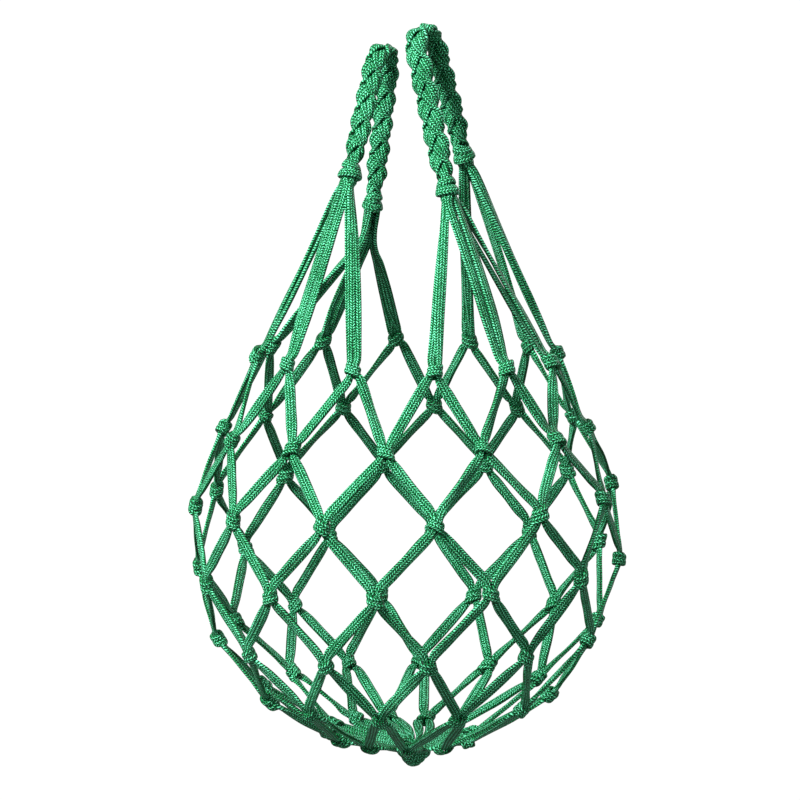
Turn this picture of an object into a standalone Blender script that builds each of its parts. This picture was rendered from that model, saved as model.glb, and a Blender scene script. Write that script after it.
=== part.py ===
"""Hand-knotted net bag for one ball, hanging full-shape from its two plaited handles.

Flat braided cord throughout. Twelve columns of diamond meshes close round the ball and bunch into a base
gather; above the top row the cords run up in pairs to four wrapped knots, and a three-part plait joins each
front wrapped knot to the one behind it as a hand loop. The origin is where a hand holds both loops, +Z is up,
-Y is the front. Sizes below are millimetres; the scene is in metres.
"""

import bisect
import math

import bmesh
import bpy
from mathutils import Vector

MM = 0.001
GAP = 0.3  # between pieces that touch on the real bag

# The ball it is knotted for, and where the hand holds above its centre
BALL_DIAMETER = 243.0
HOLD_HEIGHT = 280.0

# Cord
CORD_WIDTH = 6.4
CORD_THICK = 2.6

# Net: rows run from the mouth (1) to the base (7), and knots of odd rows stand on odd half-columns
COLUMNS = 12
ROWS = 7
HALF_COLUMN = math.pi / COLUMNS
MOUTH_RADIUS = 87.0
MOUTH_HEIGHT = 107.5
SECOND_ROW_LATITUDE = math.radians(31.2)
MESH_LEG = 51.5
HAND_SKEW = 0.042  # the hand-tied net pulls a little towards the upper right

# Knots: each of the two cords carries half of the lump
KNOT_HALF_HEIGHT = 6.6
KNOT_SHOULDER = 4.4
KNOT_DEPTH = 7.4
HALF_KNOT_WIDTH = 6.2
CORD_OFFSET = 3.35

# Base gather
GATHER_RADIUS = 9.4
GATHER_DROP = 12.5
GATHER_PULL = 9.0  # the tails are bunched this far to the +X side of the net's own pole

# Wrapped knots above the straps, and the loops' highest centre points (height above the ball's centre)
WRAPS = {
    ("left", "front"): Vector((-28.5, -27.0, 217.0)),
    ("left", "back"): Vector((-23.5, 27.0, 196.0)),
    ("right", "front"): Vector((26.5, -27.0, 208.0)),
    ("right", "back"): Vector((29.5, 27.0, 225.0)),
}
APEXES = {"left": Vector((-13.5, 0.0, 285.0)), "right": Vector((9.5, 0.0, 296.0))}
TURN_YAWS = {"left": math.radians(18.0), "right": math.radians(26.0)}  # of each turn, out of the YZ plane
WRAP_HALF_HEIGHT = 6.5
WRAP_PROFILE = ((-1.0, 7.5), (-0.8, 8.2), (-0.35, 8.0), (0.1, 7.5), (0.6, 6.9), (1.0, 6.2))

# Three-part plait
PLAIT_TURN_RADIUS = 10.0
TURN_STEPS = 4
GUIDE_STEPS = 8
PLAIT_PITCH = 35.0
PLAIT_SWING = 4.9
PLAIT_WEAVE = 3.0
PLAIT_CORD_WIDTH = 4.7
PLAIT_CORD_THICK = 3.9
STATIONS_PER_PITCH = 12

# Hinges: outboard of the outermost knots of row 1, and along the outer top edges of the wrapped knots
SWING_OUTBOARD = 5.0
FOLD_CLEARANCE = 0.5


def empty_scene():
    for thing in list(bpy.data.objects):
        bpy.data.objects.remove(thing, do_unlink=True)


def cord_material(name, colour, roughness):
    material = bpy.data.materials.new(name)
    material.use_nodes = True
    shader = material.node_tree.nodes["Principled BSDF"]
    shader.inputs["Base Color"].default_value = (*colour, 1.0)
    shader.inputs["Roughness"].default_value = roughness
    shader.inputs["Metallic"].default_value = 0.0
    return material


def latitudes():
    """Latitude of each knot row on the ball, from one leg length: rows 2 to 7."""
    radius = BALL_DIAMETER / 2 + CORD_THICK / 2 + 1.4
    found = {2: SECOND_ROW_LATITUDE}
    for row in range(3, ROWS + 1):
        above = found[row - 1]
        low, high = above - math.radians(40.0), above
        for _ in range(50):
            middle = (low + high) / 2
            upper = radius * sphere_direction(above, 0.0)
            lower = radius * sphere_direction(middle, HALF_COLUMN)
            if (upper - lower).length > MESH_LEG:
                low = middle
            else:
                high = middle
        found[row] = (low + high) / 2
    return radius, found


def sphere_direction(latitude, azimuth):
    """Azimuth runs from the front (-Y) towards +X."""
    flat = math.cos(latitude)
    return Vector((flat * math.sin(azimuth), -flat * math.cos(azimuth), math.sin(latitude)))


def skewed(point):
    """The hand-tied net's uneven pull, which leaves each point at its own distance from the ball's centre."""
    moved = Vector((point.x + HAND_SKEW * point.z, point.y, point.z + HAND_SKEW * point.x))
    return moved.normalized() * point.length


NET_RADIUS, LATITUDES = latitudes()


def knot_index(row, strand, lower_side):
    """Half-column of the knot that a strand reaches in a row; lower_side is the strand's lower half-column."""
    odd = row % 2 == 1
    return lower_side if (lower_side % 2 == 1) == odd else lower_side + 1


def mouth_knot(index):
    azimuth = index * HALF_COLUMN
    level = Vector((MOUTH_RADIUS * math.sin(azimuth), -MOUTH_RADIUS * math.cos(azimuth), MOUTH_HEIGHT))
    return skewed(level)


def strap_wrap(index):
    """The wrapped knot that the cords of a row 1 knot run up to."""
    azimuth = math.degrees(index * HALF_COLUMN) % 360.0
    side = "right" if azimuth < 180.0 else "left"
    end = "front" if azimuth < 90.0 or azimuth > 270.0 else "back"
    return side, end


def knot_frame(row, index):
    """Centre of a knot, with the directions along its column, across it and out of the net."""
    if row == 1:
        centre = mouth_knot(index)
        up = (WRAPS[strap_wrap(index)] - centre).normalized()
        level = Vector((centre.x, centre.y, 0.0)).normalized()
        east = up.cross(level).normalized()
        return centre, up, east, east.cross(up)
    centre = skewed(NET_RADIUS * sphere_direction(LATITUDES[row], index * HALF_COLUMN))
    out = centre.normalized()
    east = Vector((0.0, 0.0, 1.0)).cross(out).normalized()
    return centre, out.cross(east), east, out


def along(points, at):
    """Direction of a run of points at one of them."""
    before, after = points[max(at - 1, 0)], points[min(at + 1, len(points) - 1)]
    return (after - before).normalized()


def knot_stations(row, index, side):
    """Half of a knot, as one cord of the two passes down through it: side is +1 right of the column, -1 left."""
    centre, up, east, out = knot_frame(row, index)
    offset = east * (side * CORD_OFFSET)
    stations = []
    for height, thick, width in (
        (KNOT_HALF_HEIGHT, CORD_THICK, CORD_WIDTH - 0.4),
        (KNOT_SHOULDER, KNOT_DEPTH, HALF_KNOT_WIDTH),
        (-KNOT_SHOULDER, KNOT_DEPTH, HALF_KNOT_WIDTH),
        (-KNOT_HALF_HEIGHT, CORD_THICK, CORD_WIDTH - 0.4),
    ):
        proud = (KNOT_DEPTH - CORD_THICK) / 2 - 1.0 if thick == KNOT_DEPTH else 0.2
        stations.append([centre + offset + up * height + out * proud, east, out, width, thick])
    return stations


def leg_stations(upper, lower, on_ball):
    """Two stations along the cord between two knots; below row 2 the leg lies round the ball."""
    stations = []
    for part in (1 / 3, 2 / 3):
        centre = upper[0].lerp(lower[0], part)
        out = upper[2].lerp(lower[2], part).normalized()
        if on_ball:
            centre = centre.normalized() * (NET_RADIUS + 0.2)
            out = centre.normalized()
        stations.append([centre, None, out, CORD_WIDTH, CORD_THICK])
    return stations


def base_stations(lower_side):
    """From row 7 in to the gather: the cord turns on edge as all twenty-four close up."""
    stations = []
    azimuth = (lower_side + 0.5) * HALF_COLUMN
    for flat, pulled, width, thick in (
        (27.0, 0.6, 5.9, 2.8),
        (18.0, 0.9, 4.0, 4.2),
        (GATHER_RADIUS + 1.2, 1.0, 2.2, 6.0),
    ):
        reach = NET_RADIUS + (thick - CORD_THICK) / 2
        centre = skewed(reach * sphere_direction(-math.acos(flat / reach), azimuth))
        centre.x += GATHER_PULL * pulled
        stations.append([centre.normalized() * reach, None, centre.normalized(), width, thick])
    return stations


def net_strand_stations(strand):
    stations = []
    lower_side = strand
    for row in range(1, ROWS + 1):
        index = knot_index(row, strand, lower_side)
        side = 1 if index == lower_side else -1
        knot = knot_stations(row, index, side)
        if stations:
            stations += leg_stations(stations[-1], knot[0], row > 2)
        stations += knot
    stations += base_stations(lower_side)
    points = [station[0] for station in stations]
    for at, station in enumerate(stations):
        if station[1] is None:
            # Flat on the net: across is square to the cord and to the outward direction.
            heading = along(points, at)
            station[1] = station[2].cross(heading).normalized()
            station[2] = heading.cross(station[1])
    return stations


def strap_stations(index, side):
    """One of the two cords from a row 1 knot to its wrapped knot."""
    centre, up, east, out = knot_frame(1, index)
    wrap, axis = WRAPS[strap_wrap(index)], WRAP_AXES[strap_wrap(index)]
    start = centre + up * (KNOT_HALF_HEIGHT + GAP) + east * (side * CORD_OFFSET) + out * 0.2
    around = strap_azimuths(strap_wrap(index))[(index % (2 * COLUMNS), side)]
    away = around - axis * around.dot(axis)
    away.normalize()
    end = wrap - axis * (WRAP_HALF_HEIGHT + GAP) + away * 6.3
    stations = [[start, east, out, CORD_WIDTH - 0.2, CORD_THICK]]
    tangent = axis.cross(away) if axis.cross(away).dot(east) > 0 else away.cross(axis)
    for part in (0.35, 0.7):
        spot = start.lerp(end, part)
        across = east.lerp(tangent, part).normalized()
        outward = out.lerp(away, part).normalized()
        outward = (outward - across * outward.dot(across)).normalized()
        width = CORD_WIDTH - 0.2 + (2.3 - CORD_WIDTH + 0.2) * part
        stations.append([spot, across, outward, width, CORD_THICK + 0.4 * part])
    stations.append([end, tangent, away, 2.3, CORD_THICK + 0.4])
    return stations


def strap_azimuths(which):
    """Where each strap cord enters its wrapped knot: six places in order round the outboard side."""
    side, end = which
    knots = [index for index in range(1, 2 * COLUMNS, 2) if strap_wrap(index) == which]
    cords = [(index, flank) for index in knots for flank in (-1, 1)]
    middle = sum(knots) / len(knots) * HALF_COLUMN
    places = {}
    for at, cord in enumerate(cords):
        angle = middle + math.radians(31.5) * (at - (len(cords) - 1) / 2)
        places[cord] = Vector((math.sin(angle), -math.cos(angle), 0.0))
    return places


def smoothed(guide):
    """Points of a Catmull-Rom line through evenly spaced guide points."""
    ends = [2 * guide[0] - guide[1], *guide, 2 * guide[-1] - guide[-2]]
    line = [guide[0]]
    for before, start, end, after in zip(ends, ends[1:], ends[2:], ends[3:]):
        for step in range(1, GUIDE_STEPS + 1):
            t = step / GUIDE_STEPS
            bend = (end - before) * t + (2 * before - 5 * start + 4 * end - after) * t**2
            bend += (3 * start - before - 3 * end + after) * t**3
            line.append(start + bend / 2)
    return line


class Loop:
    """One plaited hand loop: a leg up from each wrapped knot and the turn between them, as one smooth line."""

    def __init__(self, side):
        front, back, apex = WRAPS[(side, "front")], WRAPS[(side, "back")], APEXES[side]
        across = Vector((math.sin(TURN_YAWS[side]), math.cos(TURN_YAWS[side]), 0.0))
        rise = apex - (front + back) / 2
        rise = (rise - across * rise.dot(across)).normalized()
        self.normal = across.cross(rise)
        turn = apex - rise * PLAIT_TURN_RADIUS
        touch = across * PLAIT_TURN_RADIUS
        self.front_axis = (turn - touch - front).normalized()
        self.back_axis = (turn + touch - back).normalized()
        clear = WRAP_HALF_HEIGHT + GAP + 0.3
        guide = self.leg(front + self.front_axis * clear, turn - touch)
        for step in range(1, TURN_STEPS):
            angle = math.pi * step / TURN_STEPS
            guide.append(turn - touch * math.cos(angle) + rise * (PLAIT_TURN_RADIUS * math.sin(angle)))
        guide += reversed(self.leg(back + self.back_axis * clear, turn + touch))
        self.line = smoothed(guide)
        self.runs = [0.0]
        for start, end in zip(self.line, self.line[1:]):
            self.runs.append(self.runs[-1] + (end - start).length)

    def leg(self, foot, touch):
        """Guide points up a straight leg, about as far apart as those round the turn."""
        steps = round((touch - foot).length / (math.pi * PLAIT_TURN_RADIUS / TURN_STEPS))
        return [foot.lerp(touch, step / steps) for step in range(steps + 1)]

    def at(self, run):
        """Centre of the plait so far along it, with its flat direction and the direction to the loop's inside."""
        after = min(max(bisect.bisect_left(self.runs, run), 1), len(self.line) - 1)
        part = (run - self.runs[after - 1]) / (self.runs[after] - self.runs[after - 1])
        centre = self.line[after - 1].lerp(self.line[after], part)
        heading = along(self.line, after - 1).lerp(along(self.line, after), part).normalized()
        flat = self.flat(heading)
        return centre, flat, heading.cross(flat)

    def flat(self, heading):
        """Square to a heading, in the direction that the plait is wide."""
        return (self.normal - heading * self.normal.dot(heading)).normalized()


LOOPS = {side: Loop(side) for side in APEXES}
WRAP_AXES = {
    (side, end): getattr(LOOPS[side], end + "_axis") for side in LOOPS for end in ("front", "back")
}


def plait_stations(side, strand):
    """One of the three strands of a plait, each strand a doubled pair of cords."""
    loop = LOOPS[side]
    length = loop.runs[-1]
    pitches = round(length / PLAIT_PITCH * 6) / 6
    count = round(pitches * STATIONS_PER_PITCH)
    phase = 2 * math.pi * strand / 3
    stations = []
    for step in range(count + 1):
        centre, flat, inside = loop.at(length * step / count)
        turn = 2 * math.pi * pitches * step / count + phase
        spot = centre + flat * (PLAIT_SWING * math.sin(turn)) + inside * (PLAIT_WEAVE * math.sin(2 * turn))
        stations.append([spot, flat, inside, PLAIT_CORD_WIDTH, PLAIT_CORD_THICK])
    return stations


def wrap_stations(which):
    centre, axis = WRAPS[which], WRAP_AXES[which]
    across = LOOPS[which[0]].flat(axis)
    out = axis.cross(across)
    return [
        [centre + axis * (height * WRAP_HALF_HEIGHT), across, out, 2 * radius, 2 * radius]
        for height, radius in WRAP_PROFILE
    ]


def gather_stations():
    """The bunched knot below the ball, a little to the side of the net's own lower pole."""
    pole = (skewed(Vector((0.0, 0.0, -NET_RADIUS))) + Vector((GATHER_PULL, 0.0, 0.0))).normalized()
    across = Vector((0.0, 1.0, 0.0)).cross(pole).normalized()
    out = pole.cross(across)
    top = BALL_DIAMETER / 2 + 0.9
    profile = ((0.0, 7.4), (1.5, 8.9), (5.5, GATHER_RADIUS), (8.5, 8.4), (11.0, 5.6), (GATHER_DROP, 2.6))
    return [[pole * (top + drop), across, out, 2 * radius, 2 * radius] for drop, radius in profile]


FLAT = ((-0.5, -0.5), (0.5, -0.5), (0.5, 0.5), (-0.5, 0.5))


def ring(sides):
    turns = (2 * math.pi * at / sides for at in range(sides))
    return tuple((0.5 * math.cos(turn), 0.5 * math.sin(turn)) for turn in turns)


def swept(name, stations, outline, material, parent):
    """A closed body through stations of centre, across, out, width and thickness."""
    mesh = bpy.data.meshes.new(name)
    shape = bmesh.new()
    rings = []
    anchor = place_of(parent)
    for centre, across, out, width, thick in stations:
        corners = []
        for x, y in outline:
            spot = centre + across * (x * width) + out * (y * thick)
            spot.z -= HOLD_HEIGHT
            corners.append(shape.verts.new(spot * MM - anchor))
        rings.append(corners)
    for upper, lower in zip(rings, rings[1:]):
        for at in range(len(outline)):
            following = (at + 1) % len(outline)
            shape.faces.new((upper[at], upper[following], lower[following], lower[at]))
    shape.faces.new(rings[0])
    shape.faces.new(reversed(rings[-1]))
    bmesh.ops.recalc_face_normals(shape, faces=shape.faces)
    shape.to_mesh(mesh)
    shape.free()
    mesh.materials.append(material)
    piece = bpy.data.objects.new(name, mesh)
    bpy.context.scene.collection.objects.link(piece)
    piece.parent = parent
    return piece


def place_of(thing):
    """Where a hinge stands in the scene; the hinges are placed but never turned."""
    return thing.location + place_of(thing.parent) if thing else Vector()


def hinge(name, point, parent=None):
    """An empty on a joint's axis, which carries the pieces that turn about it."""
    marker = bpy.data.objects.new(name, None)
    marker.empty_display_size = 0.02
    bpy.context.scene.collection.objects.link(marker)
    marker.location = point * MM - place_of(parent)
    marker.parent = parent
    return marker


def swing_point(side):
    """On the swing axis, which runs along Y beside the outermost knots of row 1."""
    index, beside = (7, SWING_OUTBOARD) if side == "right" else (19, -SWING_OUTBOARD)
    outermost = mouth_knot(index)
    return Vector((outermost.x + beside, 0.0, outermost.z + KNOT_HALF_HEIGHT - HOLD_HEIGHT))


def fold_line(side):
    """Two points on the fold axis, along the outer top edges of a handle's two wrapped knots."""
    tops = []
    for end in ("front", "back"):
        axis = WRAP_AXES[(side, end)]
        outboard = LOOPS[side].flat(axis)
        if (outboard.x > 0) != (side == "right"):
            outboard = -outboard
        top = WRAPS[(side, end)] + axis * WRAP_HALF_HEIGHT
        top += outboard * (WRAP_PROFILE[-1][1] + FOLD_CLEARANCE)
        top.z -= HOLD_HEIGHT
        tops.append(top)
    return tops


def build_net():
    cord = cord_material("net_cord", (0.005, 0.323, 0.098), 0.5)
    for strand in range(2 * COLUMNS):
        swept(f"net_strand_{strand + 1:02d}", net_strand_stations(strand), FLAT, cord, None)
    bunch = cord_material("gather_cord", (0.004, 0.260, 0.080), 0.55)
    swept("base_gather", gather_stations(), ring(12), bunch, None)


def build_handle(side):
    swing = hinge(f"{side}_handle_hinge", swing_point(side))
    strap_cord = cord_material(f"{side}_strap_cord", (0.006, 0.350, 0.110), 0.5)
    wrap_cord = cord_material(f"{side}_wrap_cord", (0.005, 0.300, 0.090), 0.5)
    plait_cord = cord_material(f"{side}_plait_cord", (0.005, 0.310, 0.095), 0.5)
    for index in range(1, 2 * COLUMNS, 2):
        which = strap_wrap(index)
        if which[0] != side:
            continue
        for flank, letter in ((-1, "a"), (1, "b")):
            name = f"strap_{side}_{which[1]}_{index:02d}{letter}"
            swept(name, strap_stations(index, flank), FLAT, strap_cord, swing)
    for end in ("front", "back"):
        swept(f"wrap_{side}_{end}", wrap_stations((side, end)), ring(12), wrap_cord, swing)
    start, finish = fold_line(side)
    fold = hinge(f"{side}_grip_hinge", (start + finish) / 2, swing)
    for strand in range(3):
        swept(f"plait_{side}_{strand + 1}", plait_stations(side, strand), ring(6), plait_cord, fold)


def main():
    empty_scene()
    build_net()
    for side in ("left", "right"):
        build_handle(side)
        axis = fold_line(side)
        print(side, "swing axis at", [round(v, 2) for v in swing_point(side)])
        print(side, "fold axis from", [[round(v, 2) for v in point] for point in axis])


main()
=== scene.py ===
import bisect
import math
import random

import bmesh
import bpy
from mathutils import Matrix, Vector


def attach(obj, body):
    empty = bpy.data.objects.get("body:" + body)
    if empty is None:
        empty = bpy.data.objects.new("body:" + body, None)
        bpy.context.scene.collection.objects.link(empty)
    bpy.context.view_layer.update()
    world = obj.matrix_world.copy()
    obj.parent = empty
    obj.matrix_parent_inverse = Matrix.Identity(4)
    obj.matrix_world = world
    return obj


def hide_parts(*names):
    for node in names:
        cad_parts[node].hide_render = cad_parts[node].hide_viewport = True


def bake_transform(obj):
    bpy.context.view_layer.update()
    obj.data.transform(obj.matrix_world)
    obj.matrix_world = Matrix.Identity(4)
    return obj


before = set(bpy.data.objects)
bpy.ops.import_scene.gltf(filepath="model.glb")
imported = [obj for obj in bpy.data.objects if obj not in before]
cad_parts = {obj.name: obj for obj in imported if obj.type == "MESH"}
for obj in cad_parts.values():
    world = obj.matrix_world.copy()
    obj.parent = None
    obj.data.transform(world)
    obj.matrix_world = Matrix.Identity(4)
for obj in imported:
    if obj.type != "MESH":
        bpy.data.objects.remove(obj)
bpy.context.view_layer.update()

# Knotted net ball bag. Lengths here are millimetres from the ball's centre; pieces are made in metres.
mm = 0.001

bag = {
    "ballRadius": 121.5,
    "holdHeight": 280.0,  # the origin is this far above the ball's centre
    "columns": 12,
    "rows": 7,
    "mouthRadius": 87.0,
    "mouthHeight": 107.5,
    "secondRowLatitude": math.radians(31.2),
    "meshLeg": 51.5,  # one side of a mesh, from knot to knot
    "skew": 0.042,  # the hand-tied net pulls towards the upper right
    "gatherPull": 9.0,  # and its tails are bunched to the right of its own pole
    "netRadius": 124.2,  # to the middle of the cords
}
wraps = {  # the middle of each wrapped knot
    ("left", "front"): Vector((-28.5, -27.0, 217.0)),
    ("left", "back"): Vector((-23.5, 27.0, 196.0)),
    ("right", "front"): Vector((26.5, -27.0, 208.0)),
    ("right", "back"): Vector((29.5, 27.0, 225.0)),
}
# the top of each hand loop, and how far it is twisted round there
apexes = {"left": Vector((-13.5, 0.0, 285.0)), "right": Vector((9.5, 0.0, 296.0))}
turnYaws = {"left": math.radians(18.0), "right": math.radians(26.0)}
halfColumn = math.pi / bag["columns"]
chance = random.Random(12)


def sphereDirection(latitude, azimuth):  # azimuth from the front (-Y) towards +X
    flat = math.cos(latitude)
    return Vector((flat * math.sin(azimuth), -flat * math.cos(azimuth), math.sin(latitude)))


def findLatitudes():  # one leg length from knot to knot sets every row
    found = {2: bag["secondRowLatitude"]}
    furthest = math.radians(40.0)  # further down than any leg reaches
    for row in range(3, bag["rows"] + 1):
        above = found[row - 1]
        low, high = above - furthest, above
        for _ in range(50):
            middle = (low + high) / 2
            leg = sphereDirection(above, 0.0) - sphereDirection(middle, halfColumn)
            if leg.length * bag["netRadius"] > bag["meshLeg"]:
                low = middle
            else:
                high = middle
        found[row] = (low + high) / 2
    return found


latitudes = findLatitudes()


def skewed(point):
    moved = Vector((point.x + bag["skew"] * point.z, point.y, point.z + bag["skew"] * point.x))
    return moved.normalized() * point.length


def wrapOf(index):  # the wrapped knot above a knot of row 1
    azimuth = math.degrees(index * halfColumn) % 360.0
    end = "front" if azimuth < 90.0 or azimuth > 270.0 else "back"
    return ("right" if azimuth < 180.0 else "left"), end


def knotFrame(row, index):
    azimuth = index * halfColumn
    if row == 1:
        radius, height = bag["mouthRadius"], bag["mouthHeight"]
        centre = skewed(Vector((radius * math.sin(azimuth), -radius * math.cos(azimuth), height)))
        up = (wraps[wrapOf(index)] - centre).normalized()
        east = up.cross(Vector((centre.x, centre.y, 0.0)).normalized()).normalized()
        return centre, up, east, east.cross(up)
    centre = skewed(bag["netRadius"] * sphereDirection(latitudes[row], azimuth))
    out = centre.normalized()
    east = Vector((0.0, 0.0, 1.0)).cross(out).normalized()
    return centre, out.cross(east), east, out


def smoothed(guide, steps=8):  # a Catmull-Rom line through evenly spaced points
    ends = [2 * guide[0] - guide[1], *guide, 2 * guide[-1] - guide[-2]]
    line = [guide[0]]
    for before, start, end, after in zip(ends, ends[1:], ends[2:], ends[3:]):
        for step in range(1, steps + 1):
            t = step / steps
            bend = (end - before) * t + (2 * before - 5 * start + 4 * end - after) * t**2
            bend += (3 * start - before - 3 * end + after) * t**3
            line.append(start + bend / 2)
    return line


loopShape = {
    "turnRadius": 10.0,
    "turnSteps": 4,
    "clear": 4.0,  # the plait starts this far above a wrapped knot's middle
}


# The middle line of a plaited loop: a leg up from each wrapped knot, and the turn between.
class HandLoop:
    def __init__(self, side):
        radius, steps, clear = loopShape["turnRadius"], loopShape["turnSteps"], loopShape["clear"]
        front, back, apex = wraps[(side, "front")], wraps[(side, "back")], apexes[side]
        across = Vector((math.sin(turnYaws[side]), math.cos(turnYaws[side]), 0.0))
        rise = apex - (front + back) / 2
        rise = (rise - across * rise.dot(across)).normalized()
        self.normal = across.cross(rise)
        turn, touch = apex - rise * radius, across * radius
        self.axes = {
            "front": (turn - touch - front).normalized(),
            "back": (turn + touch - back).normalized(),
        }
        guide = self.leg(front + self.axes["front"] * clear, turn - touch)
        for step in range(1, steps):
            angle = math.pi * step / steps
            guide.append(turn - touch * math.cos(angle) + rise * (radius * math.sin(angle)))
        guide += reversed(self.leg(back + self.axes["back"] * clear, turn + touch))
        self.line = smoothed(guide)
        self.runs = [0.0]
        for start, end in zip(self.line, self.line[1:]):
            self.runs.append(self.runs[-1] + (end - start).length)

    def leg(self, foot, touch):
        spacing = math.pi * loopShape["turnRadius"] / loopShape["turnSteps"]
        steps = round((touch - foot).length / spacing)
        return [foot.lerp(touch, step / steps) for step in range(steps + 1)]

    def at(self, run):  # centre, the direction in which the plait is wide, and the loop's inside
        after = min(max(bisect.bisect_left(self.runs, run), 1), len(self.line) - 1)
        part = (run - self.runs[after - 1]) / (self.runs[after] - self.runs[after - 1])
        centre = self.line[after - 1].lerp(self.line[after], part)
        low, high = max(after - 2, 0), min(after + 1, len(self.line) - 1)
        heading = (self.line[high] - self.line[low]).normalized()
        flat = self.flat(heading)
        return centre, flat, heading.cross(flat)

    def flat(self, heading):
        return (self.normal - heading * self.normal.dot(heading)).normalized()


handLoops = {side: HandLoop(side) for side in apexes}


def linear(hexColour):
    values = [int(hexColour[at:at + 2], 16) / 255 for at in (1, 3, 5)]
    return tuple(v / 12.92 if v <= 0.04045 else ((v + 0.055) / 1.055) ** 2.4 for v in values) + (1.0,)


# An input is a value, a socket, or a node, whose first output is taken.
def addNode(tree, kind, inputs=None, **settings):
    node = tree.nodes.new(kind)
    for name, value in settings.items():
        setattr(node, name, value)
    for socket, value in (inputs or {}).items():
        if isinstance(value, bpy.types.Node):
            value = value.outputs[0]
        if isinstance(value, bpy.types.NodeSocket):
            tree.links.new(value, node.inputs[socket])
        else:
            node.inputs[socket].default_value = value
    return node


braid = {
    "column": 1.7,  # width of one row of stitches
    "stitch": 1.6,  # pitch along the cord
    "slope": 1.0,  # a float climbs this much for each millimetre across
    # painted shade: the dark green put in the weave's gaps, where the yarns dive under each other
    "paintedGrooveShade": "#002a18",
    "body": "#00924a",
    # painted highlight: the pale mint put on the crown of each float
    "crownWithPaintedHighlight": "#80f4c6",
    "grooveEnds": 0.28,  # heights of the weave where each colour is pure
    "bodyAt": 0.64,
    "crownFlat": 0.35,  # under 1 keeps a row's crown broad and its edges steep
    "roughness": 0.5,
    "gloss": 0.2,
    "depth": 0.0009,
    "bump": 0.9,
    "uneven": 1.4,  # how far stitches stray, how much patches and single yarns vary, and how finely
    "unevenScale": 520.0,
    "patches": 0.35,
    "patchScale": 45.0,
    "fuzz": 0.7,
    "fuzzScale": 1000.0,
}


# Polyester cord, braided as a flat tube. Short floats of yarn slant left and right in turn from one
# row of stitches to the next, so the face shows small chevrons, coloured by the weave's height: a
# painted highlight, pale mint, on the crown of each float, and painted shade, dark green, in the gaps
# where the yarns dive under each other.
def braidedPolyester(name):
    material = bpy.data.materials.new(name)
    material.use_nodes = True
    tree = material.node_tree
    tree.nodes.clear()
    column = braid["column"]
    weave = addNode(tree, "ShaderNodeAttribute", attribute_name="weave")
    parts = addNode(tree, "ShaderNodeSeparateXYZ", {0: weave.outputs["Vector"]})
    around, run = parts.outputs[0], parts.outputs[1]
    coordinates = addNode(tree, "ShaderNodeTexCoord").outputs["Object"]
    # a stitch is never quite where it should be
    noise = {"Vector": coordinates, "Scale": braid["unevenScale"], "Detail": 2.0}
    wander = addNode(tree, "ShaderNodeTexNoise", noise)
    wander = addNode(tree, "ShaderNodeMath", {0: wander, 1: 0.5}, operation="SUBTRACT")
    slant = addNode(tree, "ShaderNodeMath", {0: around, 1: column}, operation="PINGPONG")
    phase = {0: slant, 1: braid["slope"], 2: run}
    phase = addNode(tree, "ShaderNodeMath", phase, operation="MULTIPLY_ADD")
    phase = {0: wander, 1: braid["uneven"], 2: phase}
    phase = addNode(tree, "ShaderNodeMath", phase, operation="MULTIPLY_ADD")
    beat = addNode(tree, "ShaderNodeMath", {0: phase, 1: 2.0 / braid["stitch"]}, operation="MULTIPLY")
    beat = addNode(tree, "ShaderNodeMath", {0: beat, 1: 1.0}, operation="PINGPONG")
    stitch = addNode(tree, "ShaderNodeMath", {0: beat, 1: math.pi / 2}, operation="MULTIPLY")
    stitch = addNode(tree, "ShaderNodeMath", {0: stitch}, operation="SINE")
    inRow = addNode(tree, "ShaderNodeMath", {0: around, 1: column / 2}, operation="ADD")
    inRow = addNode(tree, "ShaderNodeMath", {0: inRow, 1: column / 2}, operation="PINGPONG")
    inRow = {0: inRow, 1: -2.0 / column, 2: 1.0}
    inRow = addNode(tree, "ShaderNodeMath", inRow, operation="MULTIPLY_ADD")
    inRow = addNode(tree, "ShaderNodeMath", {0: inRow, 1: 0.0}, operation="MAXIMUM")
    # the crown of a row, which shapes the relief and sets where the painted highlight goes
    crownWithPaintedHighlight = addNode(tree, "ShaderNodeMath", {0: inRow, 1: braid["crownFlat"]}, operation="POWER")
    height = addNode(tree, "ShaderNodeMath", {0: stitch, 1: crownWithPaintedHighlight}, operation="MULTIPLY")
    noise = {"Vector": coordinates, "Scale": braid["patchScale"], "Detail": 3.0}
    patches = addNode(tree, "ShaderNodeTexNoise", noise)
    patches = addNode(tree, "ShaderNodeMath", {0: patches, 1: 0.5}, operation="SUBTRACT")
    noise = {"Vector": coordinates, "Scale": braid["fuzzScale"], "Detail": 2.0}
    fuzz = addNode(tree, "ShaderNodeTexNoise", noise)
    fuzz = addNode(tree, "ShaderNodeMath", {0: fuzz, 1: 0.5}, operation="SUBTRACT")
    # the weave's height paints shade into its gaps and a highlight onto its crowns; patches and fuzz
    # are the yarn's own uneven tone
    shade = {0: patches, 1: braid["patches"], 2: height}
    shade = addNode(tree, "ShaderNodeMath", shade, operation="MULTIPLY_ADD")
    shade = {0: fuzz, 1: braid["fuzz"], 2: shade}
    shade = addNode(tree, "ShaderNodeMath", shade, operation="MULTIPLY_ADD")
    colours = addNode(tree, "ShaderNodeValToRGB", {0: shade})
    ramp = colours.color_ramp
    for element, at, colour in zip(ramp.elements, ("grooveEnds", "bodyAt"), ("paintedGrooveShade", "body")):
        element.position, element.color = braid[at], linear(braid[colour])
    ramp.elements.new(1.0).color = linear(braid["crownWithPaintedHighlight"])
    relief = {"Height": height, "Strength": braid["bump"], "Distance": braid["depth"]}
    bump = addNode(tree, "ShaderNodeBump", relief)
    shader = addNode(
        tree, "ShaderNodeBsdfPrincipled",
        {
            "Base Color": colours,
            "Roughness": braid["roughness"],
            "Specular IOR Level": braid["gloss"],
            "Normal": bump,
        },
    )
    addNode(tree, "ShaderNodeOutputMaterial", {0: shader})
    return material


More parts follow.
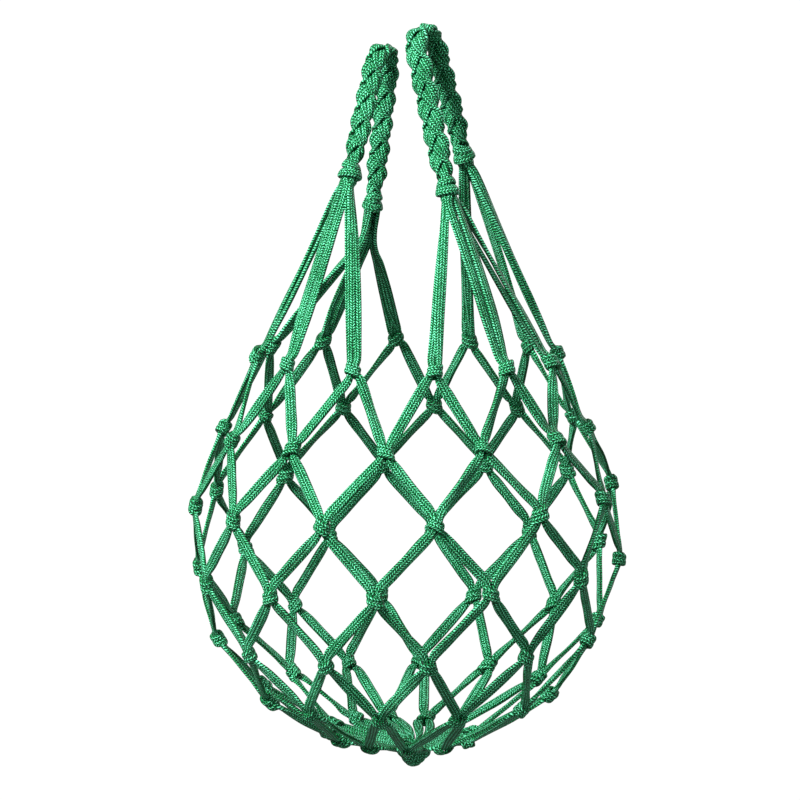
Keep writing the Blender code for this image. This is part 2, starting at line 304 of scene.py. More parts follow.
cordLook = braidedPolyester("greenBraidedPolyester")


cord = {
    "width": 6.4,
    "thick": 2.6,
    "ringPoints": 12,
    "spacing": 2.0,  # from ring to ring along a cord, closer where it bends more
    "knotSpacing": 1.2,
    "plaitSpacing": 1.6,
}


# Sweeps a flat tube along each line, and lays out the weave's coordinates on it.
def braidedCordTree():
    tree = bpy.data.node_groups.new("braidedCord", "GeometryNodeTree")
    tree.interface.new_socket("Geometry", in_out="OUTPUT", socket_type="NodeSocketGeometry")
    for name, kind, value in (
        ("Lines", "NodeSocketGeometry", None),
        ("Spacing", "NodeSocketFloat", 0.002),
        ("Ring points", "NodeSocketInt", 12),
        ("Side roundness", "NodeSocketFloat", 0.8),
        ("Face roundness", "NodeSocketFloat", 0.6),
        ("Material", "NodeSocketMaterial", None),
    ):
        socket = tree.interface.new_socket(name, in_out="INPUT", socket_type=kind)
        if value is not None:
            socket.default_value = value
    given = addNode(tree, "NodeGroupInput").outputs
    position = addNode(tree, "GeometryNodeInputPosition")

    made = addNode(tree, "GeometryNodeMeshToCurve", {0: given["Lines"]})
    made = addNode(tree, "GeometryNodeCurveSplineType", {0: made}, spline_type="CATMULL_ROM")
    made = {"Curve": made, "Length": given["Spacing"]}
    made = addNode(tree, "GeometryNodeResampleCurve", made, mode="LENGTH")
    for name, kind, value in (
        ("centre", "FLOAT_VECTOR", position),
        ("heading", "FLOAT_VECTOR", addNode(tree, "GeometryNodeInputTangent")),
        ("run", "FLOAT", addNode(tree, "GeometryNodeSplineParameter").outputs["Length"]),
    ):
        made = {"Geometry": made, "Name": name, "Value": value}
        made = addNode(tree, "GeometryNodeStoreNamedAttribute", made, data_type=kind)
    circle = {"Resolution": given["Ring points"], "Radius": 1.0}
    circle = addNode(tree, "GeometryNodeCurvePrimitiveCircle", circle, mode="RADIUS")
    circle = {"Geometry": circle, "Name": "ring", "Value": position}
    circle = addNode(tree, "GeometryNodeStoreNamedAttribute", circle, data_type="FLOAT_VECTOR")
    made = {"Curve": made, "Profile Curve": circle, "Fill Caps": True}
    made = addNode(tree, "GeometryNodeCurveToMesh", made)

    kept = {
        name: addNode(tree, "GeometryNodeInputNamedAttribute", {"Name": name}, data_type=kind)
        for name, kind in (
            ("centre", "FLOAT_VECTOR"), ("heading", "FLOAT_VECTOR"), ("outward", "FLOAT_VECTOR"),
            ("ring", "FLOAT_VECTOR"), ("width", "FLOAT"), ("thick", "FLOAT"), ("run", "FLOAT"),
        )
    }
    ring = addNode(tree, "ShaderNodeSeparateXYZ", {0: kept["ring"]}).outputs
    flattened = []
    for value, roundness in ((ring[0], given["Side roundness"]), (ring[1], given["Face roundness"])):
        size = addNode(tree, "ShaderNodeMath", {0: value}, operation="ABSOLUTE")
        size = addNode(tree, "ShaderNodeMath", {0: size, 1: roundness}, operation="POWER")
        sign = addNode(tree, "ShaderNodeMath", {0: value}, operation="SIGN")
        flattened.append(addNode(tree, "ShaderNodeMath", {0: size, 1: sign}, operation="MULTIPLY"))
    across = {0: kept["outward"], 1: kept["heading"]}
    across = addNode(tree, "ShaderNodeVectorMath", across, operation="CROSS_PRODUCT")
    across = addNode(tree, "ShaderNodeVectorMath", {0: across}, operation="NORMALIZE")
    square = {0: kept["heading"], 1: across}
    square = addNode(tree, "ShaderNodeVectorMath", square, operation="CROSS_PRODUCT")
    spot = kept["centre"]
    for direction, part, size in ((across, flattened[0], "width"), (square, flattened[1], "thick")):
        reach = addNode(tree, "ShaderNodeMath", {0: kept[size], 1: 0.5}, operation="MULTIPLY")
        reach = addNode(tree, "ShaderNodeMath", {0: reach, 1: part}, operation="MULTIPLY")
        reach = {0: direction, "Scale": reach}
        reach = addNode(tree, "ShaderNodeVectorMath", reach, operation="SCALE")
        spot = addNode(tree, "ShaderNodeVectorMath", {0: spot, 1: reach}, operation="ADD")
    made = addNode(tree, "GeometryNodeSetPosition", {"Geometry": made, "Position": spot})

    # Across the weave: nought down the middle of the cord's face, its full width down the middle
    # of its back.
    reach = addNode(tree, "ShaderNodeMath", {0: flattened[0]}, operation="ABSOLUTE")
    isBack = addNode(tree, "ShaderNodeMath", {0: ring[1], 1: -0.0001}, operation="LESS_THAN")
    rest = addNode(tree, "ShaderNodeMath", {0: reach, 1: -2.0, 2: 2.0}, operation="MULTIPLY_ADD")
    folded = {0: isBack, 1: rest, 2: reach}
    folded = addNode(tree, "ShaderNodeMath", folded, operation="MULTIPLY_ADD")
    halfWidth = {0: kept["width"], 1: 500.0}  # in millimetres
    halfWidth = addNode(tree, "ShaderNodeMath", halfWidth, operation="MULTIPLY")
    folded = addNode(tree, "ShaderNodeMath", {0: folded, 1: halfWidth}, operation="MULTIPLY")
    along = addNode(tree, "ShaderNodeMath", {0: kept["run"], 1: 1000.0}, operation="MULTIPLY")
    weave = addNode(tree, "ShaderNodeCombineXYZ", {0: folded, 1: along})
    made = {"Geometry": made, "Name": "weave", "Value": weave}
    made = addNode(tree, "GeometryNodeStoreNamedAttribute", made, data_type="FLOAT_VECTOR")
    made = addNode(tree, "GeometryNodeSetShadeSmooth", {0: made})
    made = addNode(tree, "GeometryNodeRealizeInstances", {0: made})
    made = {"Geometry": made, "Material": given["Material"]}
    made = addNode(tree, "GeometryNodeSetMaterial", made)
    addNode(tree, "NodeGroupOutput", {0: made})
    return tree


# Puts one of three tied knots on each point, turned to its cords.
def tiedKnotTree():
    tree = bpy.data.node_groups.new("tiedKnots", "GeometryNodeTree")
    tree.interface.new_socket("Geometry", in_out="OUTPUT", socket_type="NodeSocketGeometry")
    shapes = ("Knot A", "Knot B", "Knot C")
    tree.interface.new_socket("Points", in_out="INPUT", socket_type="NodeSocketGeometry")
    for name in shapes:
        tree.interface.new_socket(name, in_out="INPUT", socket_type="NodeSocketObject")
    tree.interface.new_socket("Material", in_out="INPUT", socket_type="NodeSocketMaterial")
    given = addNode(tree, "NodeGroupInput").outputs
    choices = addNode(tree, "GeometryNodeJoinGeometry")
    for name in shapes:
        knot = {"Object": given[name]}
        knot = addNode(tree, "GeometryNodeObjectInfo", knot, transform_space="ORIGINAL")
        single = addNode(tree, "GeometryNodeGeometryToInstance", {0: knot.outputs["Geometry"]})
        tree.links.new(single.outputs[0], choices.inputs[0])
    kept = {
        name: addNode(tree, "GeometryNodeInputNamedAttribute", {"Name": name}, data_type=kind)
        for name, kind in (
            ("outward", "FLOAT_VECTOR"), ("up", "FLOAT_VECTOR"),
            ("size", "FLOAT_VECTOR"), ("shape", "INT"),
        )
    }
    turn = {0: kept["outward"], 1: kept["up"]}
    turn = addNode(tree, "FunctionNodeAxesToRotation", turn, primary_axis="Z", secondary_axis="Y")
    made = addNode(
        tree, "GeometryNodeInstanceOnPoints",
        {
            "Points": given["Points"], "Instance": choices, "Pick Instance": True,
            "Instance Index": kept["shape"], "Rotation": turn, "Scale": kept["size"],
        },
    )
    made = addNode(tree, "GeometryNodeRealizeInstances", {0: made})
    made = {"Geometry": made, "Material": given["Material"]}
    made = addNode(tree, "GeometryNodeSetMaterial", made)
    addNode(tree, "NodeGroupOutput", {0: made})
    return tree


cordTree, knotTree = braidedCordTree(), tiedKnotTree()


def toOrigin(point):
    return Vector((point.x, point.y, point.z - bag["holdHeight"])) * mm


# Runs a tree on an object and keeps the result as a plain mesh.
def evaluated(source, tree, name, values):
    modifier = source.modifiers.new("shape", "NODES")
    modifier.node_group = tree
    for item in tree.interface.items_tree:
        if item.item_type == "SOCKET" and item.in_out == "INPUT" and item.name in values:
            modifier[item.identifier] = values[item.name]
    bpy.context.view_layer.update()
    graph = bpy.context.evaluated_depsgraph_get()
    result = bpy.data.meshes.new_from_object(source.evaluated_get(graph))
    bpy.data.objects.remove(source, do_unlink=True)
    shape = bmesh.new()
    shape.from_mesh(result)
    bmesh.ops.recalc_face_normals(shape, faces=shape.faces)
    shape.to_mesh(result)
    shape.free()
    for attribute in (
        "centre", "heading", "run", "ring", "outward", "width", "thick", "up", "shape", "size",
    ):
        if attribute in result.attributes:
            result.attributes.remove(result.attributes[attribute])
    result.name = name
    piece = bpy.data.objects.new(name, result)
    bpy.context.scene.collection.objects.link(piece)
    return piece


# Each path is a list of (centre, the way the cord's face looks, width, thickness).
def makeCords(name, paths, spacing, faceRoundness=0.6, toScene=toOrigin):
    mesh = bpy.data.meshes.new(name + "Lines")
    points, edges = [], []
    for path in paths:
        edges += [(len(points) + at, len(points) + at + 1) for at in range(len(path) - 1)]
        points += path
    mesh.from_pydata([toScene(point[0]) for point in points], edges, [])
    outward = mesh.attributes.new("outward", "FLOAT_VECTOR", "POINT")
    outward.data.foreach_set("vector", [value for point in points for value in point[1]])
    for size, at in (("width", 2), ("thick", 3)):
        layer = mesh.attributes.new(size, "FLOAT", "POINT")
        layer.data.foreach_set("value", [point[at] * mm for point in points])
    source = bpy.data.objects.new(name + "Lines", mesh)
    bpy.context.scene.collection.objects.link(source)
    values = {
        "Spacing": spacing * mm,
        "Ring points": cord["ringPoints"],
        "Face roundness": faceRoundness,
        "Material": cordLook,
    }
    return evaluated(source, cordTree, name, values)


knotPass = {  # how a cord runs down through a knot: height, offset from the middle, width, thickness
    "stations": (
        (7.6, 3.5, 6.0, 2.6),
        (3.2, 1.8, 4.0, 3.0),
        (-2.5, 1.8, 3.5, 3.2),
        (-6.2, 3.9, 5.4, 2.7),
    ),
    "proud": 1.5,  # a knot stands this far out from the net, and its cords half as far at its ends
    "inner": 4.0,  # stations nearer the middle than this are inside the knot
}
leg = {
    "spots": (0.2, 0.5, 0.8),
    "lift": 0.4,
    "sink": 0.9,  # a leg is pulled this much closer to the ball in its middle
    "turn": 0.75,
    "uneven": 0.05,
}
baseTail = (  # distance from the pole's axis, share of the pull, width, thickness
    (27.0, 0.6, 5.9, 2.8),
    (18.0, 0.9, 4.0, 4.2),
    (11.0, 1.0, 2.5, 5.6),
    (6.5, 1.0, 2.2, 5.0),
)
tailEnd = {"from": 8.0, "lift": 2.5}  # the tails lift off the ball for their last few millimetres


def netPath(strand):
    path = []
    for row in range(1, bag["rows"] + 1):
        index = strand if (strand % 2 == 1) == (row % 2 == 1) else strand + 1
        side = 1 if index == strand else -1
        centre, up, east, out = knotFrame(row, index)
        here = []
        stations = knotPass["stations"][1 if row == 1 else 0:]  # straps take the top ones
        for height, offset, width, thick in stations:
            proud = knotPass["proud"] * (1.0 if abs(height) < knotPass["inner"] else 0.5)
            spot = centre + up * height + east * (side * offset) + out * proud
            here.append((spot, out, width, thick))
        if path:
            path += legPath(path[-1], here[0], row > 2)
        path += here
    return path + basePath(strand)


# The cord lies on the ball between its knots, more or less turned on edge.
def legPath(upper, lower, onBall):
    turn = chance.uniform(-leg["turn"], leg["turn"])
    path = []
    heading = (lower[0] - upper[0]).normalized()
    for part in leg["spots"]:
        spot = upper[0].lerp(lower[0], part)
        out = upper[1].lerp(lower[1], part).normalized()
        swell = math.sin(math.pi * part)
        if onBall:
            spot = spot.normalized() * (bag["netRadius"] + leg["lift"] - leg["sink"] * swell)
            out = spot.normalized()
        out = out + out.cross(heading) * (math.tan(turn) * swell)
        width = cord["width"] * (1.0 + chance.uniform(-leg["uneven"], leg["uneven"]))
        path.append((spot, out.normalized(), width, cord["thick"]))
    return path


def basePath(strand):  # in to the gather, turning on edge as all the cords close up
    azimuth = (strand + 0.5) * halfColumn
    path = []
    for flat, pulled, width, thick in baseTail:
        reach = bag["netRadius"] + (thick - cord["thick"]) / 2
        spot = skewed(reach * sphereDirection(-math.acos(flat / reach), azimuth))
        spot.x += bag["gatherPull"] * pulled
        lift = tailEnd["lift"] if flat < tailEnd["from"] else 0.0
        path.append((spot.normalized() * (reach + lift), spot.normalized(), width, thick))
    return path


wound = {
    "stepsPerTurn": 14,
    "fewest": 8,
    "tucked": (1.0, 0.76, 0.45),  # a turn's reach, and how far in its last two steps go
}


# A flat cord wound round an upright core, with both ends tucked in. X is across, Y up, Z out.
def woundPath(
    turns, side, deep, rise, tilt, width, thick, start, hand=1, lift=0.0, cone=0.0, top=1.0
):
    path = []
    steps = max(wound["fewest"], int(turns * wound["stepsPerTurn"]))
    for at in range(-2, steps + 3):
        part = min(max(at / steps, 0.0), 1.0)
        tuck = wound["tucked"][max(-at, at - steps, 0)]
        angle = hand * (start + 2 * math.pi * turns * at / steps)
        x, z = math.sin(angle), math.cos(angle)
        reach = tuck * (1.0 + (top - 1.0) * part)
        height = lift + rise * (part - 0.5) - tilt * x * side * tuck
        out = Vector((x / side, cone / side, z / deep)).normalized()
        spot = Vector((x * side * reach, height, z * deep * reach))
        path.append((spot, out, width * (0.7 + 0.3 * tuck), thick))
    return path


tiedKnot = {  # a doubled cord laid slantwise round the pair: one cord above the other
    "side": 3.75,
    "deep": 3.1,
    "apart": 3.4,
    "rise": 1.0,
    "width": 3.8,
    "thick": 2.2,
    "lean": 0.22,  # most that a knot leans, turns, and differs in size
    "turn": 0.3,
    "sizes": (0.95, 1.08),
    "stretches": (0.95, 1.1),
    "shapes": {  # turns, tilt, start, hand
        "Knot A": (1.3, 0.42, 2.2, 1),
        "Knot B": (1.35, 0.36, 2.6, -1),
        "Knot C": (1.2, 0.55, 3.6, 1),
    },
}


def knotObject(name, turns, tilt, start, hand):
    shape = tiedKnot
    paths = []
    for level in (-1, 1):
        side, lift = shape["side"] * (1 - 0.06 * level), shape["apart"] / 2 * level - 0.4
        paths.append(woundPath(
            turns, side, shape["deep"], shape["rise"], hand * tilt, shape["width"], shape["thick"],
            start + 0.5 * level, hand, lift=lift,
        ))
    return makeCords(name, paths, cord["knotSpacing"], 0.9, toScene=lambda point: point * mm)


def makeNet():
    strands = [netPath(strand) for strand in range(2 * bag["columns"])]
    cords = makeCords("netCords", strands, cord["spacing"])
    shapes = {name: knotObject(name, *shape) for name, shape in tiedKnot["shapes"].items()}
    mesh = bpy.data.meshes.new("knotPoints")
    places, picks = [], []
    layers = {"up": [], "outward": [], "size": []}
    for row in range(1, bag["rows"] + 1):
        for column in range(bag["columns"]):
            centre, up, east, out = knotFrame(row, 2 * column + row % 2)
            places.append(toOrigin(centre + out * knotPass["proud"]))
            lean = chance.uniform(-tiedKnot["lean"], tiedKnot["lean"])
            turn = chance.uniform(-tiedKnot["turn"], tiedKnot["turn"])
            layers["up"].extend((up + east * lean).normalized())
            layers["outward"].extend((out + east * turn).normalized())
            size = chance.uniform(*tiedKnot["sizes"])
            layers["size"].extend((size, size * chance.uniform(*tiedKnot["stretches"]), 1.0))
            picks.append(chance.randrange(len(shapes)))
    mesh.from_pydata(places, [], [])
    for name, values in layers.items():
        mesh.attributes.new(name, "FLOAT_VECTOR", "POINT").data.foreach_set("vector", values)
    mesh.attributes.new("shape", "INT", "POINT").data.foreach_set("value", picks)
    source = bpy.data.objects.new("knotPoints", mesh)
    bpy.context.scene.collection.objects.link(source)
    knots = evaluated(source, knotTree, "netKnots", {**shapes, "Material": cordLook})
    for shape in shapes.values():
        bpy.data.objects.remove(shape, do_unlink=True)
    return cords, knots


gather = {
    "side": 7.8,
    "deep": 0.92,  # of its side
    "width": 5.8,
    "thick": 2.7,
    "turns": 1.6,
    "below": 4.2,  # its middle is this far below the ball
    "arch": 10.4,  # half of a loop's width, and how far a loop hangs down
    "drop": 8.2,
    # turn, level, shift sideways
    "loops": ((0.2, 0.0, 2.6), (1.3, 1.3, -2.4), (2.3, 2.5, 1.2), (0.9, 3.6, -0.6)),
    "loopSteps": 12,
}


# The bunched tails below the ball: a turn round them, and loops tied across underneath.
def makeGather():
    pole = skewed(Vector((0.0, 0.0, -bag["netRadius"]))) + Vector((bag["gatherPull"], 0.0, 0.0))
    pole.normalize()
    across = Vector((0.0, 1.0, 0.0)).cross(pole).normalized()
    other = pole.cross(across)
    middle = pole * (bag["ballRadius"] + gather["below"])

    def place(point):  # Y points down, away from the ball
        return toOrigin(middle + across * point.x + pole * point.y + other * point.z)

    side, width, thick, steps = (gather[size] for size in ("side", "width", "thick", "loopSteps"))
    deep = side * gather["deep"]
    paths = [woundPath(gather["turns"], side, deep, 2.0, 0.12, width, thick, 0.6, lift=0.8)]
    for angle, level, aside in gather["loops"]:
        loop = []
        reach = gather["arch"] - 0.75 * level
        for at in range(steps + 1):
            bow = math.pi * (at / steps - 0.5)
            flat = reach * math.sin(bow) * (1.0 + 0.12 * math.cos(2 * bow))
            drop = 1.2 + (gather["drop"] - 1.6 + 0.9 * level) * math.cos(bow) ** 0.8
            shift = aside * math.cos(bow)
            x = flat * math.cos(angle) - shift * math.sin(angle)
            z = flat * math.sin(angle) + shift * math.cos(angle)
            outX, outZ = math.sin(bow) * math.cos(angle), math.sin(bow) * math.sin(angle)
            out = Vector((outX, math.cos(bow) + 0.2, outZ))
            loop.append((Vector((x, drop, z)), out.normalized(), width, thick))
        paths.append(loop)
    turned = [
        [(spot, across * out.x + pole * out.y + other * out.z, *sizes) for spot, out, *sizes in path]
        for path in paths
    ]
    return makeCords("baseGatherKnot", turned, cord["knotSpacing"], 0.9, toScene=place)


wrapKnot = {
    "half": 6.5,  # of its height
    "lower": 5.9,  # how far out its two turns lie
    "upper": 4.5,
    "width": 5.6,
    "thick": 2.3,
    "sizes": {
        ("left", "front"): 1.0,
        ("left", "back"): 0.86,
        ("right", "front"): 1.0,
        ("right", "back"): 0.94,
    },
}
strap = {
    "width": 6.2,
    "thick": 2.6,
    "bundle": 3.4,  # from a wrapped knot's axis to the middle of each cord in it
    "aroundStep": math.radians(50.0),  # from cord to cord round the bundle
    "closed": 6.0,  # how far below its wrapped knot a bundle stays closed
    "together": {("left", "back"): 20.0},  # the same, where it differs
    "footHeight": 7.0,  # above its net knot
    "spots": (0.0, 0.12, 0.28, 0.5, 0.75, 1.0),
    "fan": 0.28,  # the share of its length over which a pair opens out from its net knot
    "bow": 1.2,
    "stack": 1.35,
    "lapLimit": 3.2,
    # half the step between a pair's middle lines: side by side, or partly one over the other
    "laps": {1: 0.6, 23: 1.5, 3: 3.0, 5: 2.4, 21: 3.1, 19: 2.2, 13: 1.1, 11: 1.2},
    "otherLaps": (0.9, 3.0),
    # height, offset, width, thickness
    "inKnot": ((-1.0, 1.8, 3.5, 3.2), (3.0, 1.8, 3.9, 3.0)),
    # height, share of the bundle's size, width
    "inWrap": ((-7.0, 1.08, 4.0), (-3.0, 0.96, 3.6), (3.0, 0.8, 3.2)),
    "thickInWrap": 2.5,
    "spread": 2.1,  # half the step between the pair's middle lines at the net knot
    "narrowedFoot": 1.7,
    "narrowedHead": 1.2,
    "turned": 0.75,  # how far a strap's head has turned to lie round the bundle
    "bendsFrom": 12.0,  # above the mouth, and below a wrapped knot
    "bendsTo": 4.0,
}


def strapPaths(which):
    centre, axis = wraps[which], handLoops[which[0]].axes[which[1]]
    indices = [index for index in range(1, 2 * bag["columns"], 2) if wrapOf(index) == which]
    middle = sum(indices) / len(indices) * halfColumn
    paths = []
    for place, index in enumerate(indices):
        knot, up, east, out = knotFrame(1, index)
        lap = strap["laps"].get(index, chance.uniform(*strap["otherLaps"]))
        stack = strap["stack"] * math.sqrt(1 - (lap / strap["lapLimit"]) ** 2)
        stack *= chance.choice((-1, 1))
        bow = chance.uniform(-strap["bow"], strap["bow"])
        foot = knot + up * strap["footHeight"]
        rims = []
        for side in (-1, 1):
            angle = middle + strap["aroundStep"] * (2 * place + (side + 1) / 2 - 2.5)
            away = Vector((math.sin(angle), -math.cos(angle), 0.0))
            rims.append((away - axis * away.dot(axis)).normalized())
        closed = strap["together"].get(which, strap["closed"])
        head = centre - axis * (wrapKnot["half"] + closed)
        head = head + (rims[0] + rims[1]) * (strap["bundle"] * 0.62)
        for side, away in zip((-1, 1), rims):
            path = []
            for height, offset, width, thick in strap["inKnot"]:
                spot = knot + up * height + east * (side * offset) + out * knotPass["proud"]
                path.append((spot, out, width, thick))
            tangent = axis.cross(away)
            tangent = tangent if tangent.dot(east) > 0 else -tangent
            for part in strap["spots"]:
                spot = foot.lerp(head, part) + out * (bow * math.sin(math.pi * part))
                near = 1 - min(1.0, part / strap["fan"]) ** 0.8
                spread = strap["spread"] * near + lap * (1 - near)
                layer = stack * (1 - near) * (1 - 0.5 * part)
                face = out.lerp(away, strap["turned"] * part**2).normalized()
                sideways = east.lerp(tangent, strap["turned"] * part**2).normalized()
                spot += sideways * (side * spread) + face * (side * layer)
                width = strap["width"] - strap["narrowedFoot"] * near - strap["narrowedHead"] * part**3
                path.append((spot, face, width, strap["thick"]))
            for rise, reach, width in strap["inWrap"]:
                spot = centre + axis * rise + away * (strap["bundle"] * reach)
                path.append((spot, away, width, strap["thickInWrap"]))
            paths.append(path)
    return paths


# The cord wound round each strap bundle: a flared lower turn and a tighter upper one.
def makeWrap(which):
    loop = handLoops[which[0]]
    axis = loop.axes[which[1]]
    across = loop.flat(axis)
    facing = across.cross(axis)
    if (facing.y < 0) != (which[1] == "front"):
        across, facing = -across, -facing

    def turned(path):
        return [
            (wraps[which] + across * spot.x + axis * spot.y + facing * spot.z,
             across * out.x + axis * out.y + facing * out.z, width, thick)
            for spot, out, width, thick in path
        ]

    hand = 1 if which[0] == "left" else -1
    width, thick = wrapKnot["width"], wrapKnot["thick"]
    reaches = [wrapKnot[part] * wrapKnot["sizes"][which] for part in ("lower", "upper")]
    lower = woundPath(
        1.25, reaches[0], reaches[0] * 0.95, rise=0.8, tilt=-hand * 0.1, width=width, thick=thick,
        start=2.4, hand=-hand, lift=-2.6, cone=0.35, top=0.94,
    )
    upper = woundPath(
        1.3, reaches[1], reaches[1] * 0.98, rise=1.4, tilt=hand * 0.32, width=width, thick=thick,
        start=2.0, hand=hand, lift=2.2, cone=0.5, top=0.95,
    )
    name = which[0] + which[1].capitalize() + "WrappedKnot"
    return makeCords(name, [turned(lower), turned(upper)], cord["knotSpacing"], 0.85)


plait = {
    "pitch": 46.0,  # along which a strand swings from one edge to the other and back
    "swing": {"left": 3.6, "right": 4.2},
    "weave": 2.2,  # how far strands pass in front of and behind each other
    "cordWidth": {"left": 4.3, "right": 5.0},
    "cordThick": 2.5,
    "neck": 13.0,  # it narrows over this length down to each wrapped knot
    "neckWidth": 0.62,
    "bendLength": 16.0,  # a length up from the middle of its two feet
    "stepsPerPitch": 18,
    "apart": 0.45,  # a strand's cords lie this share of their width to each side of its middle
    "pinch": 0.45,  # and are drawn in by this share as the strand rolls over
}


# Three strands, each a pair of cords lying flat, which rolls over at the plait's edges.
def plaitPaths(side):
    loop = handLoops[side]
    total = loop.runs[-1]
    pitches = round(total / plait["pitch"] * 6) / 6
    count = int(pitches * plait["stepsPerPitch"])
    paths = []
    for strand in range(3):
        line = []
        for step in range(count + 1):
            run = total * step / count
            centre, flat, inside = loop.at(run)
            turn = 2 * math.pi * pitches * step / count + 2 * math.pi * strand / 3
            neck = min(1.0, min(run, total - run) / plait["neck"])
            size = plait["neckWidth"] + (1 - plait["neckWidth"]) * neck
            away, ahead = math.sin(turn), math.cos(turn)
            sway = plait["swing"][side] * size * away * (1.15 - 0.15 * away**2)
            spot = centre + flat * sway + inside * (plait["weave"] * math.sin(2 * turn))
            roll = math.pi / 2 * (1 - math.copysign(math.sqrt(abs(ahead)), ahead))
            face = inside * math.cos(roll) + flat * math.sin(roll)
            width = plait["cordWidth"][side] * size
            line.append((spot, face, width, plait["apart"] * width * (1 - plait["pinch"] * away**4)))
        for flank in (-1, 1):
            path = []
            for at, (spot, out, width, apart) in enumerate(line):
                heading = (line[min(at + 1, count)][0] - line[max(at - 1, 0)][0]).normalized()
                across = out.cross(heading).normalized()
                path.append((spot + across * (flank * apart), out, width, plait["cordThick"]))
            paths.append(path)
    return paths


def makeHandle(side):
    pieces = []
    for end in ("front", "back"):
        straps = makeCords(f"{side}{end.capitalize()}Straps", strapPaths((side, end)), cord["spacing"])
        pieces.append((end, straps, makeWrap((side, end))))
    grip = makeCords(f"{side}Plait", plaitPaths(side), cord["plaitSpacing"], 0.75)
    return pieces, grip


netCords, netKnots = makeNet()
print("net:", len(netCords.data.polygons), "faces of cord,", len(netKnots.data.polygons), "of knots")
baseGather = makeGather()
for piece, slot in ((netCords, "net_cord"), (netKnots, "net_cord"), (baseGather, "gather_cord")):
    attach(piece, "net")
netNodes = [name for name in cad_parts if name.startswith("net_strand")]
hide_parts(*netNodes)
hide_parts("base_gather")

for side in ("left", "right"):
    pieces, grip = makeHandle(side)
    for end, straps, wrap in pieces:
        strapNodes = [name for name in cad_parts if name.startswith(f"strap_{side}_{end}")]
        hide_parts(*strapNodes)
        start = (0.0, 0.0, (bag["mouthHeight"] + strap["bendsFrom"] - bag["holdHeight"]) * mm)
        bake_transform(straps)
        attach(wrap, f"{side}_handle")
        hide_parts(f"wrap_{side}_{end}")
    loop = handLoops[side]
    feet = [wraps[(side, end)] + loop.axes[end] * wrapKnot["half"] for end in ("front", "back")]
    upright = loop.normal.cross(feet[1] - feet[0]).normalized()
    upright = upright if upright.z > 0 else -upright
    foot = toOrigin((feet[0] + feet[1]) / 2)
    start, end = foot - upright * mm, foot + upright * plait["bendLength"] * mm
    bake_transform(grip)
    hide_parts(*[f"plait_{side}_{strand}" for strand in (1, 2, 3)])
    print(side, "handle made")


studio = {
    "floorDepth": 2.9,  # the bag hangs clear of it, so that it can be seen from below
    "roomRadius": 3.4,
    "roomHeight": 6.0,
    "coveRadius": 1.2,
    "curveSteps": 12,
    "paper": "#8a8a88",
    "paperGlow": 0.88,
    "distance": 2.0,
    "azimuth": math.radians(7.7),
    "elevation": math.radians(9.5),
    "frameWidth": 0.4712,  # how much the view spans at the ball's centre
    "aimUp": 0.0803,
    "aimAcross": -0.0039,
    "lights": {  # place, size in metres, watts
        "keyLight": ((-1.0, -1.3, 1.1), 0.4, 92.0),
        "fillLight": ((1.2, -1.6, 0.1), 1.4, 6.0),
        "topLight": ((-0.3, 0.0, 1.4), 0.8, 10.0),
        "backLight": ((0.9, 1.8, 0.6), 1.0, 12.0),
    },
    "air": 0.3,
}


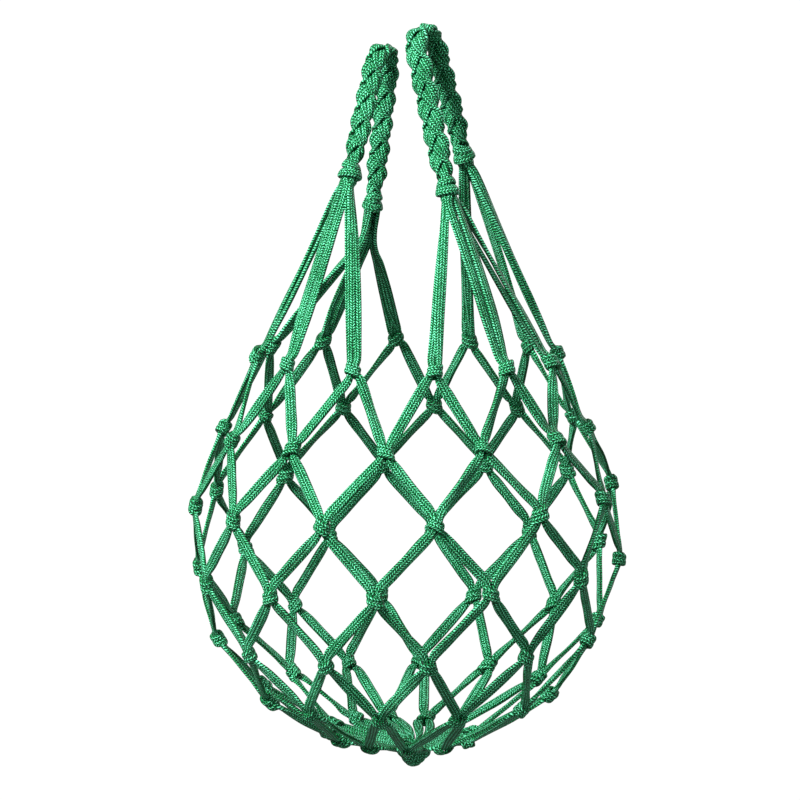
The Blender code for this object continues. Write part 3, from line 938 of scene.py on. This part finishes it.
# Matt white paper, evenly lit: a floor that curves up into a round wall and over. The camera sees it,
# but it casts no light of its own on the net.
def makeRoom():
    material = bpy.data.materials.new("mattWhitePaper")
    material.use_nodes = True
    shader = material.node_tree.nodes["Principled BSDF"]
    shader.inputs["Base Color"].default_value = linear(studio["paper"])
    shader.inputs["Roughness"].default_value = 1.0
    shader.inputs["Emission Color"].default_value = (1.0, 1.0, 1.0, 1.0)
    shader.inputs["Emission Strength"].default_value = studio["paperGlow"]
    radius, cove, floor = studio["roomRadius"], studio["coveRadius"], -studio["floorDepth"]
    angles = [math.pi / 2 * step / studio["curveSteps"] for step in range(studio["curveSteps"] + 1)]
    profile = [(0.0, floor)]
    for angle in angles:
        profile.append((radius - cove + cove * math.sin(angle), floor + cove * (1 - math.cos(angle))))
    for angle in angles:
        height = studio["roomHeight"] * (0.5 + 0.5 * math.sin(angle))
        profile.append((radius * math.cos(angle), floor + height))
    shape = bmesh.new()
    corners = [shape.verts.new((out, 0.0, height)) for out, height in profile]
    edges = [shape.edges.new(pair) for pair in zip(corners, corners[1:])]
    bmesh.ops.spin(
        shape, geom=corners + edges, cent=(0, 0, 0), axis=(0, 0, 1), angle=2 * math.pi, steps=64,
        use_merge=True,
    )
    bmesh.ops.remove_doubles(shape, verts=shape.verts, dist=0.0001)
    bmesh.ops.recalc_face_normals(shape, faces=shape.faces)
    bmesh.ops.reverse_faces(shape, faces=shape.faces)
    for face in shape.faces:
        face.smooth = True
    mesh = bpy.data.meshes.new("paperRoom")
    shape.to_mesh(mesh)
    shape.free()
    mesh.materials.append(material)
    room = bpy.data.objects.new("paperRoom", mesh)
    bpy.context.scene.collection.objects.link(room)
    room.visible_diffuse = room.visible_glossy = room.visible_shadow = False


def addLight(name, place, aim, size, power):
    light = bpy.data.lights.new(name, "AREA")
    light.shape, light.size, light.energy = "DISK", size, power
    lamp = bpy.data.objects.new(name, light)
    lamp.location = place
    lamp.rotation_euler = (Vector(aim) - Vector(place)).to_track_quat("-Z", "Y").to_euler()
    bpy.context.scene.collection.objects.link(lamp)


def makeStudio():
    makeRoom()
    ball = Vector((0.0, 0.0, -bag["holdHeight"] * mm))
    for name, (place, size, power) in studio["lights"].items():
        addLight(name, place, ball, size, power)
    world = bpy.data.worlds.new("studioAir")
    world.use_nodes = True
    air = world.node_tree.nodes["Background"].inputs
    air[0].default_value, air[1].default_value = (1.0, 1.0, 1.0, 1.0), studio["air"]
    bpy.context.scene.world = world
    azimuth, elevation = studio["azimuth"], studio["elevation"]
    level = math.cos(elevation)
    towards = Vector((math.sin(azimuth) * level, -math.cos(azimuth) * level, math.sin(elevation)))
    across = Vector((math.cos(azimuth), math.sin(azimuth), 0.0))
    up = towards.cross(across)
    target = ball + up * studio["aimUp"] + across * studio["aimAcross"]
    lens = bpy.data.cameras.new("camera")
    lens.sensor_width = 36.0
    lens.lens = lens.sensor_width * studio["distance"] / studio["frameWidth"]
    lens.clip_end = 20.0
    camera = bpy.data.objects.new("camera", lens)
    camera.location = ball + towards * studio["distance"]
    camera.rotation_euler = (target - camera.location).to_track_quat("-Z", "Y").to_euler()
    bpy.context.scene.collection.objects.link(camera)
    bpy.context.scene.camera = camera


makeStudio()
bpy.context.scene.view_settings.view_transform = "Standard"
print("studio ready")
